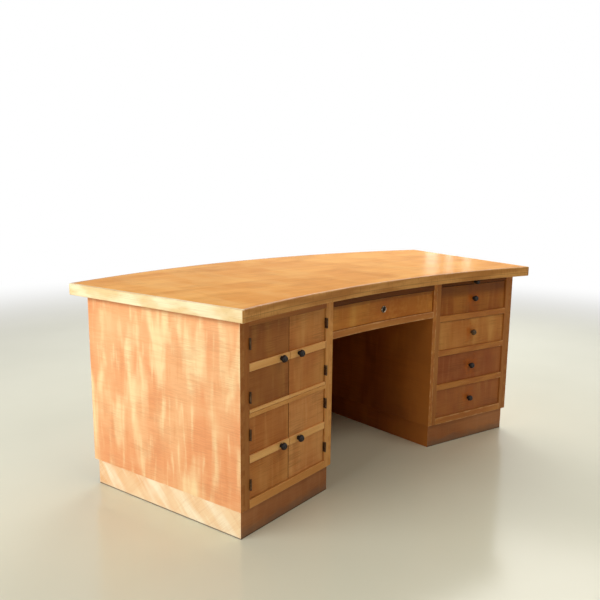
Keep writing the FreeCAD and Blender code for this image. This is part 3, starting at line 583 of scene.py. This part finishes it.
# desktop
desktop = dict(lippingRounding=0.004, seam=0.0004)
dressBoard("desktop_panel", topVeneer, "carcass", "top_veneer", grain=Vector((1, 0, 0)),
           rounding=desktop["seam"], seam=desktop["seam"])
deskEnd = 0.75  # lippings whose middle lies further out than this are the end ones
dressBoard("desktop_lippings", [frontLipping, endLipping], "carcass", "lipping",
           rounding=desktop["lippingRounding"], seam=desktop["seam"],
           pick=lambda middle, normal: int(abs(middle.x) > deskEnd and not looksAlong(normal, deskOut)),
           arc=lambda middle: None if abs(middle.x) > deskEnd else frontArc if middle.y < 0 else rearArc)

print("desktop dressed")

# carcass
easing = dict(panel=0.0012, front=0.001)  # how far the edges of panels and of fronts are rounded
plinth = dict(outer=0.78, inner=0.42)  # metres from the desk's middle: side boards lie beyond or within


def panelFinish(inside):
    # 1 for the solid lipping on a panel's front edge, 2 for its rear edge, 3 for the pedestal's inside
    def finish(middle, normal):
        if looksAlong(normal, deskOut, 0.7):
            return 1
        if looksAlong(normal, -deskOut, 0.7):
            return 2
        return 3 if looksAlong(normal, inside, 0.3) else 0
    return finish


def plinthFinish(middle, normal):
    if abs(middle.x) > plinth["outer"]:
        return 1
    return 2 if abs(middle.x) < plinth["inner"] else 0


def plinthGrain(middle):
    # the outer boards were cut from leaves laid aslant
    return Vector((0, -1, 0.9)) if abs(middle.x) > plinth["outer"] else "level"


def forwardFinish(middle, normal):
    # 1 for the faces that look forward, into a pedestal or the kneehole
    return int(looksAlong(normal, deskOut))


for side, toEnd in (("left", Vector((-1, 0, 0))), ("right", Vector((1, 0, 0)))):
    dressBoard(side + "_outer_side", [sideVeneer, stileWood, backVeneer, innerWood], "carcass",
               "side_veneer", rounding=easing["panel"], pick=panelFinish(-toEnd), facing=-toEnd)
    frontEdge = frameWood if side == "left" else dividerWood
    dressBoard(side + "_inner_side", [innerVeneer, frontEdge, backVeneer, innerWood], "carcass",
               "side_veneer", rounding=easing["panel"], pick=panelFinish(toEnd), facing=toEnd)
    dressBoard(side + "_plinth", [plinthFront, plinthSide, innerVeneer], "carcass", "plinth_veneer",
               grain=plinthGrain, pick=plinthFinish)
dressBoard("rear_plinth", [plinthFront, innerVeneer], "carcass", "plinth_veneer", arc=alongRear,
           pick=forwardFinish)
dressBoard("pedestal_backs", [backVeneer, innerWood], "carcass", "side_veneer", arc=alongRear,
           pick=forwardFinish)
dressBoard("modesty_panel", [backVeneer, innerVeneer], "carcass", "side_veneer", arc=alongRear,
           pick=forwardFinish)
stileOuter = 0.6  # the stile at the desk's left end lies further out than this


def stileFinish(middle, normal):
    # 1 for the darker stiles, which are that one and those of the right pedestal
    return int(middle.x > 0 or middle.x < -stileOuter)


dressBoard("front_stiles", [frameWood, stileWood], "carcass", "frame_wood", grain="up",
           pick=stileFinish)
topRail = 0.69  # a rail whose middle lies higher than this takes the darker stile wood, painted shade below the desktop's edge
dressBoard("cupboard_rails", [frameWood, stileWood], "carcass", "frame_wood",
           pick=lambda middle, normal: int(middle.z > topRail))
dressBoard("drawer_dividers", dividerWood, "carcass", "frame_wood")
# the rail under the desktop's edge takes the dark wood as painted shade
dressBoard("kneehole_top_rail", paintedShadeWood, "carcass", "frame_wood", arc=alongFront)
dressBoard("apron_rail", dividerWood, "carcass", "frame_wood", arc=alongFront)
for node in ("bottom_boards", "cupboard_shelf", "dust_boards", "drawer_guides", "slide_bearers",
             "centre_drawer_runners", "top_fixing_blocks"):
    dressBoard(node, innerWood, "carcass", "inner_wood")
print("carcass dressed")

# drawers, slide and doors
frontLook = dict(veneerLook, toneMm=(160, 220), flameStrength=0.6, lickStrength=0.45, rippleStrength=0.34)
toneNames = ("deep", "base", "pale", "streak", "ripple")
drawerTones = {  # of each front, top to bottom
    1: ("#945018", "#A46222", "#B47634", "#824414", "#66360E"),
    2: ("#B87234", "#C68442", "#D49C56", "#A6622A", "#804A1C"),
    3: ("#924C24", "#A25C2C", "#B06E3C", "#80401E", "#623214"),
    4: ("#9A562A", "#AA6632", "#B87A40", "#8A4A22", "#6A3818")}
# painted shade along upper edges under the desktop's edge: half width, strength and colour
paintedShade = dict(topDrawer=(0.06, 0.6, "#683810"), centreDrawer=(0.016, 0.5, "#7A4414"))
hands = dict(inner=0.012, outer=0.06, strength=0.75, stain="#B8621C")  # orange wear round the knobs


def boxMiddle(node):
    low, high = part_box(node)
    return (Vector(low) + Vector(high)) / 2


def edgesFrom(axis):
    # 1 for the cut edges of a front that faces along the axis
    return lambda middle, normal: int(not looksAlong(normal, axis) and not looksAlong(normal, -axis))


def boxFinish(middle, normal):
    # 1 for level faces, which show no corner joints
    return int(abs(normal.z) > 0.7)


for number, tones in drawerTones.items():
    body = f"drawer_{number}"
    spot = (boxMiddle(body + "_knob"), hands["inner"], hands["outer"], hands["strength"], hands["stain"])
    look = dict(frontLook, **dict(zip(toneNames, tones)), spots=[spot], wear=(0.003, 0.4, tones[2]))
    if number == 1:
        # the top drawer's upper edge is darkened as painted shade under the desktop
        look["line"] = (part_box(body + "_front")[1][2], *paintedShade["topDrawer"])
    finish = flamedBirch(f"flamedBirchDrawer{number}", look)
    # the front's cut edges take the dark wood as painted shade in the gaps
    dressBoard(body + "_front", [finish, gapShadeWood], body, "front_veneer", rounding=easing["front"],
               pick=edgesFrom(rightOut))
    dressBoard(body + "_box", [boxWood, innerWood], body, "inner_wood", pick=boxFinish)
# the slide's front face takes the dark wood as painted shade under the desktop's edge
dressBoard("writing_slide_board", [frameWood, paintedShadeWood], "writing_slide", "frame_wood",
           rounding=easing["front"], pick=lambda middle, normal: int(looksAlong(normal, rightOut)),
           facing=up)
keySpot = (boxMiddle("lock_escutcheon"), 0.03, 0.16, 0.6, "#B4641E")
restSpot = (keySpot[0] + Vector((0.16, 0, 0.02)), 0.06, 0.18, 0.6, "#AA5C10")  # where the hand rests
centreVeneer = flamedBirch("flamedBirchCentreDrawer", dict(
    frontLook, deep="#BE742A", base="#CC8636", pale="#DCA450", streak="#AC6422", ripple="#844C18",
    spots=[keySpot, restSpot], wear=(0.003, 0.4, "#DEA45E"),
    # the centre drawer's upper edge is darkened as painted shade under the desktop
    line=(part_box("centre_drawer_front")[1][2], *paintedShade["centreDrawer"])))
# the front's cut edges take the dark wood as painted shade in the gaps
dressBoard("centre_drawer_front", [centreVeneer, gapShadeWood], "centre_drawer", "front_veneer",
           rounding=easing["front"], pick=edgesFrom(deskOut), arc=alongFront)
dressBoard("centre_drawer_box", [boxWood, innerWood], "centre_drawer", "inner_wood", pick=boxFinish)
doorShadedTones = {  # of each door's veneer, with painted shade and light: darkest on the upper left door, lightest on the lower right
    "upper_left_door": ("#9A5C28", "#A86A32", "#B67E42", "#8A5020", "#6C3E16"),
    "upper_right_door": ("#BC7438", "#CA8644", "#D89E5A", "#AA642E", "#845020"),
    "lower_left_door": ("#BA7236", "#C88442", "#D69A58", "#A8622C", "#824E1E"),
    "lower_right_door": ("#CA8246", "#D89454", "#E4AC6C", "#B87038", "#905A28")}
for door, tones in doorShadedTones.items():
    finish = flamedBirch("flamedBirch" + door.title().replace("_", ""), dict(
        frontLook, **dict(zip(toneNames, tones)), wear=(0.003, 0.35, tones[2])))
    # the panel's cut edges take the dark wood as painted shade in the gaps
    dressBoard(door + "_panel", [finish, gapShadeWood], door, "front_veneer", rounding=easing["front"],
               pick=edgesFrom(leftOut))
    dressBoard(door + "_strips", stripWood, door, "frame_wood", rounding=easing["front"], facing=-leftOut)
print("fronts dressed")


# turned pieces

def turnedFrame(node, axis):
    # seat, reach and radius of a turned piece, measured on its solid
    along = [vert.co.dot(axis) for vert in nodes[node].data.vertices]
    side = up.cross(axis).normalized()
    across = [vert.co.dot(side) for vert in nodes[node].data.vertices]
    heights = [vert.co.z for vert in nodes[node].data.vertices]
    level = (min(heights) + max(heights)) / 2
    seat = axis * min(along) + side * (min(across) + max(across)) / 2 + up * level
    matrix = Matrix((side, up, axis)).transposed().to_4x4()
    matrix.translation = seat
    return matrix, max(along) - min(along), (max(across) - min(across)) / 2


def turn(name, profile, matrix, material, steps=48, capped=True):
    # profile: (height over the seat, radius) pairs from the seat to the tip
    bm = bmesh.new()
    rings = []
    for height, radius in profile:
        if radius < 1e-6:
            rings.append([bm.verts.new((0, 0, height))])
            continue
        turns = [2 * math.pi * step / steps for step in range(steps)]
        rings.append([bm.verts.new((radius * math.cos(a), radius * math.sin(a), height)) for a in turns])
    for low, high in zip(rings, rings[1:]):
        for step in range(steps):
            after = (step + 1) % steps
            corners = [low[step % len(low)], low[after % len(low)],
                       high[after % len(high)], high[step % len(high)]]
            bm.faces.new(list(dict.fromkeys(corners)))
    if capped:
        bm.faces.new(list(reversed(rings[0])))
    for face in bm.faces:
        face.smooth = len(face.verts) < 5
    mesh = bpy.data.meshes.new(name)
    bm.to_mesh(mesh)
    bm.free()
    mesh.set_sharp_from_angle(angle=math.radians(40))
    mesh.materials.append(material)
    piece = bpy.data.objects.new(name, mesh)
    scene.collection.objects.link(piece)
    piece.matrix_world = matrix
    return piece


knobLook = dict(collarRadius=0.0072, collarHeight=0.0014, neckRadius=0.0048, dimple=0.0011,
                flareAt=0.36, rimAt=0.52, doming=0.62)  # the last three are shares of length and radius


def quarterTurn(steps):
    # sine and cosine along a quarter of a circle, without its start
    for step in range(1, steps + 1):
        swing = math.radians(90 * step / steps)
        yield math.sin(swing), math.cos(swing)


def knobProfile(length, radius):
    neck, collar, foot = knobLook["neckRadius"], knobLook["collarRadius"], knobLook["collarHeight"]
    flare, rim = knobLook["flareAt"] * length, knobLook["rimAt"] * length
    throat = neck * 1.25
    profile = [(0, collar), (foot, collar), (foot * 1.5, neck * 1.15), (flare * 0.7, neck), (flare, throat)]
    for sine, cosine in quarterTurn(5):
        profile.append((flare + (rim - flare) * (1 - cosine), throat + (radius - throat) * sine))
    for sine, cosine in quarterTurn(8):
        profile.append((rim + (length - rim) * sine, radius - radius * knobLook["doming"] * (1 - cosine)))
    profile.append((length - knobLook["dimple"], radius * 0.2))
    profile.append((length - knobLook["dimple"] * 1.15, 0))
    return profile


knobSeats = [(f"drawer_{number}_knob", f"drawer_{number}", rightOut) for number in drawerTones]
knobSeats.append(("writing_slide_knob", "writing_slide", rightOut))
knobSeats.extend((door + "_knob", door, leftOut) for door in doorShadedTones)
for node, body, axis in knobSeats:
    matrix, length, radius = turnedFrame(node, axis)
    blacking = rubbedKnob if body == "drawer_2" else ebonised
    knob = turn(node + "_turned", knobProfile(length, radius), matrix, blacking)
    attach(knob, body)
    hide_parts(node)
print("knobs turned:", len(knobSeats))

# lock: a worn turned rim round the escutcheon's dark plate
rimLook = dict(inner=0.0104, proud=0.0016, bead=0.0009)


def rimProfile(thickness, radius):
    inner, bead = rimLook["inner"], rimLook["bead"]
    top, wall = thickness + rimLook["proud"], thickness * 0.6
    profile = [(0, radius), (wall, radius)]
    for sine, cosine in quarterTurn(6):
        profile.append((wall + (top - wall) * sine, radius - bead * 2 * (1 - cosine)))
    profile.append((top - bead * 0.3, inner + bead))
    profile.append((thickness + bead * 0.5, inner))
    profile.append((thickness * 0.9, inner))
    return profile


rimMatrix, plateThickness, plateRadius = turnedFrame("lock_escutcheon", deskOut)
rim = turn("lock_escutcheon_rim", rimProfile(plateThickness, plateRadius), rimMatrix, nickel, capped=False)
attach(rim, "centre_drawer")
for name, finish in (("lock_escutcheon", blackBrass), ("lock_case", steel), ("lock_bolt", steel)):
    nodes[name].data.materials.clear()
    nodes[name].data.materials.append(finish)

# hinges: pressed iron with its edges eased
hinge = dict(rounding=0.0004, seam=0.0001)
hingeBodies = {"hinge_frame_leaves": "carcass", "hinge_pins": "carcass"}
hingeBodies.update({door + "_hinge_leaves": door for door in doorShadedTones})
for node, body in hingeBodies.items():
    dressBoard(node, blackIron, body, "hinge_iron", **hinge)

# two slotted screws hold every leaf, countersunk almost flush
screw = dict(radius=0.0025, slot=0.0008, proud=0.00006, sunk=0.0003, rise=0.01, inset=0.0065, steps=14)


def leafScrews(part):
    # centre and outward direction of the screws of one leaf, on the face that its twin covers
    side = up.cross(leftOut).normalized()
    verts = vertsOf(part)
    spread = [vert.co.dot(side) for vert in verts]
    pinLine = (min(spread) + max(spread)) / 2
    back = min(vert.co.dot(leftOut) for vert in verts)
    plate = [vert.co.dot(side) for vert in verts if vert.co.dot(leftOut) < back + 0.001]
    plate.sort(key=lambda place: abs(place - pinLine))
    normal = side * math.copysign(1, plate[0] - plate[-1])
    level = middleOf(verts).z
    for rise in (-screw["rise"], screw["rise"]):
        yield side * plate[0] + leftOut * (back + screw["inset"]) + up * (level + rise), normal


def screwHeads(name, seats, body):
    draw = random.Random(name)
    bm = bmesh.new()
    start = math.asin(screw["slot"] / 2 / screw["radius"])
    sweep = math.pi - 2 * start
    for centre, normal in seats:
        across = up.cross(normal)
        twist = draw.uniform(0, math.pi)
        for half in (0, math.pi):
            turns = [start + sweep * step / screw["steps"] for step in range(screw["steps"] + 1)]
            ways = [across * math.cos(a + half + twist) + up * math.sin(a + half + twist) for a in turns]
            foot = [bm.verts.new(centre + way * screw["radius"] - normal * screw["sunk"]) for way in ways]
            top = [bm.verts.new(centre + way * screw["radius"] + normal * screw["proud"]) for way in ways]
            bm.faces.new(top)
            bm.faces.new(list(reversed(foot)))
            for step in range(len(ways)):
                after = (step + 1) % len(ways)
                bm.faces.new([foot[step], foot[after], top[after], top[step]])
    mesh = bpy.data.meshes.new(name)
    bm.to_mesh(mesh)
    bm.free()
    mesh.materials.append(steel)
    piece = bpy.data.objects.new(name, mesh)
    scene.collection.objects.link(piece)
    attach(piece, body)


for node, body in hingeBodies.items():
    if node != "hinge_pins":
        leaves = cleanCopy(node)
        seats = [seat for leaf in looseParts(leaves) for seat in leafScrews(leaf)]
        screwHeads(node + "_screws", seats, body)
        leaves.free()
print("lock and hinges dressed")


# stage, light and camera

stage = dict(floorRadius=14.0, fadeStart=2.8, fadeEnd=5.4, cloudMm=700, colours=("#DCE1D1", "#E9EDDF"))


def paleFloor():
    # smooth sealed concrete: pale, faintly mirrored near the desk and lost in white further out
    material, tree, shader = newMaterial("sealedPaleConcrete", Roughness=0.18, Specular_IOR_Level=0.4)
    place = addNode(tree, "TexCoord").outputs["Object"]
    clouds = figure(tree, place, stage["cloudMm"], stage["cloudMm"], Detail=3.0)
    darker, paler = [linear(tone) for tone in stage["colours"]]
    colour = addNode(tree, "Mix", {0: clouds, 6: darker, 7: paler}, data_type="RGBA").outputs[2]
    tree.links.new(colour, shader.inputs["Base Color"])
    distance = addNode(tree, "VectorMath", {0: place}, operation="LENGTH").outputs["Value"]
    far = addNode(tree, "MapRange", {"Value": distance, "From Min": stage["fadeStart"],
                                     "From Max": stage["fadeEnd"]}, interpolation_type="SMOOTHSTEP")
    seen = addNode(tree, "Math", {0: far.outputs[0], 1: shownRay(tree)}, operation="MULTIPLY")
    white = addNode(tree, "Emission", {"Color": (1, 1, 1, 1), "Strength": 1.0})
    mixed = addNode(tree, "MixShader", {0: seen.outputs[0], 1: shader.outputs[0], 2: white.outputs[0]})
    tree.links.new(mixed.outputs[0], tree.nodes["Material Output"].inputs["Surface"])
    return material


def shownRay(tree):
    # 1 for rays that show the background: straight, mirrored or through glass
    path = addNode(tree, "LightPath")
    either = addNode(tree, "Math", {0: path.outputs["Is Camera Ray"], 1: path.outputs["Is Glossy Ray"]},
                     operation="MAXIMUM")
    return addNode(tree, "Math", {0: either.outputs[0], 1: path.outputs["Is Transmission Ray"]},
                   operation="MAXIMUM").outputs[0]


floorMesh = bpy.data.meshes.new("floor")
floorBm = bmesh.new()
bmesh.ops.create_circle(floorBm, cap_ends=True, segments=96, radius=stage["floorRadius"])
floorBm.to_mesh(floorMesh)
floorBm.free()
floorMesh.materials.append(paleFloor())
floor = bpy.data.objects.new("floor", floorMesh)
scene.collection.objects.link(floor)

studio = dict(level=0.2, colour="#FFF0DC")
daylight = "#FFFBF4"
lamps = dict(  # each with its place, the point it lights, its width and height, and its watts
    windowSide=dict(place=(-4.0, 0.3, 1.7), target=(0, 0, 0.45), size=(3.4, 2.8), power=119.0,
                    colour=daylight),
    overhead=dict(place=(2.1, 1.2, 2.9), target=(0, 0.25, 0.7), size=(3.6, 2.4), power=99.0,
                  colour=daylight),
    frontTop=dict(place=(0.2, -2.4, 3.5), target=(0, -0.3, 0.4), size=(2.4, 1.2), power=29.0,
                  colour=studio["colour"]))
panes = dict(  # narrow rear panes that the top mirrors, with the place and width of each
    target=(0.4, 0.0, 0.76), height=0.9, wattsPerMetre=8.75,
    places=(((3.73, 2.24, 1.3), 0.12), ((3.84, 2.1, 1.3), 0.06), ((3.94, 1.95, 1.3), 0.07)))
world = bpy.data.worlds.new("studio")
scene.world = world
world.use_nodes = True
fill = world.node_tree.nodes["Background"]
fill.inputs["Color"].default_value = linear(studio["colour"])
fill.inputs["Strength"].default_value = studio["level"]
backdrop = addNode(world.node_tree, "Background", {"Color": (1, 1, 1, 1), "Strength": 1.0})
shownWorld = addNode(world.node_tree, "MixShader", {0: shownRay(world.node_tree), 1: fill.outputs[0],
                                                    2: backdrop.outputs[0]})
world.node_tree.links.new(shownWorld.outputs[0],
                          world.node_tree.nodes["World Output"].inputs["Surface"])


def softbox(name, place, target, size, power, colour):
    lamp = bpy.data.lights.new(name, "AREA")
    lamp.shape = "RECTANGLE"
    lamp.size, lamp.size_y = size
    lamp.energy = power
    lamp.color = linear(colour)[:3]
    light = bpy.data.objects.new(name, lamp)
    light.location = place
    light.visible_camera = False
    light.rotation_mode = "QUATERNION"
    light.rotation_quaternion = (Vector(target) - Vector(place)).to_track_quat("-Z", "Y")
    scene.collection.objects.link(light)


for name, lamp in lamps.items():
    softbox(name, **lamp)
for place, width in panes["places"]:
    softbox("rearWindow", place, panes["target"], (width, panes["height"]), panes["wattsPerMetre"] * width,
            daylight)
scene.view_settings.view_transform = "Standard"

cameraFit = dict(place=(-1.923474, -1.968931, 1.126239), yaw=0.735, pitch=0.178, roll=0.010,
                 lens=39.875, sensor=36.0)


def photoCamera():
    yaw, pitch, roll = cameraFit["yaw"], cameraFit["pitch"], cameraFit["roll"]
    ahead = Vector((math.sin(yaw) * math.cos(pitch), math.cos(yaw) * math.cos(pitch), -math.sin(pitch)))
    level = Vector((math.cos(yaw), -math.sin(yaw), 0))
    above = level.cross(ahead)
    right = level * math.cos(roll) + above * math.sin(roll)
    top = above * math.cos(roll) - level * math.sin(roll)
    lens = bpy.data.cameras.new("photoView")
    lens.lens = cameraFit["lens"]
    lens.sensor_width = cameraFit["sensor"]
    camera = bpy.data.objects.new("photoView", lens)
    matrix = Matrix((right, top, -ahead)).transposed().to_4x4()
    matrix.translation = cameraFit["place"]
    camera.matrix_world = matrix
    scene.collection.objects.link(camera)
    scene.camera = camera


photoCamera()
print("stage, light and camera set")
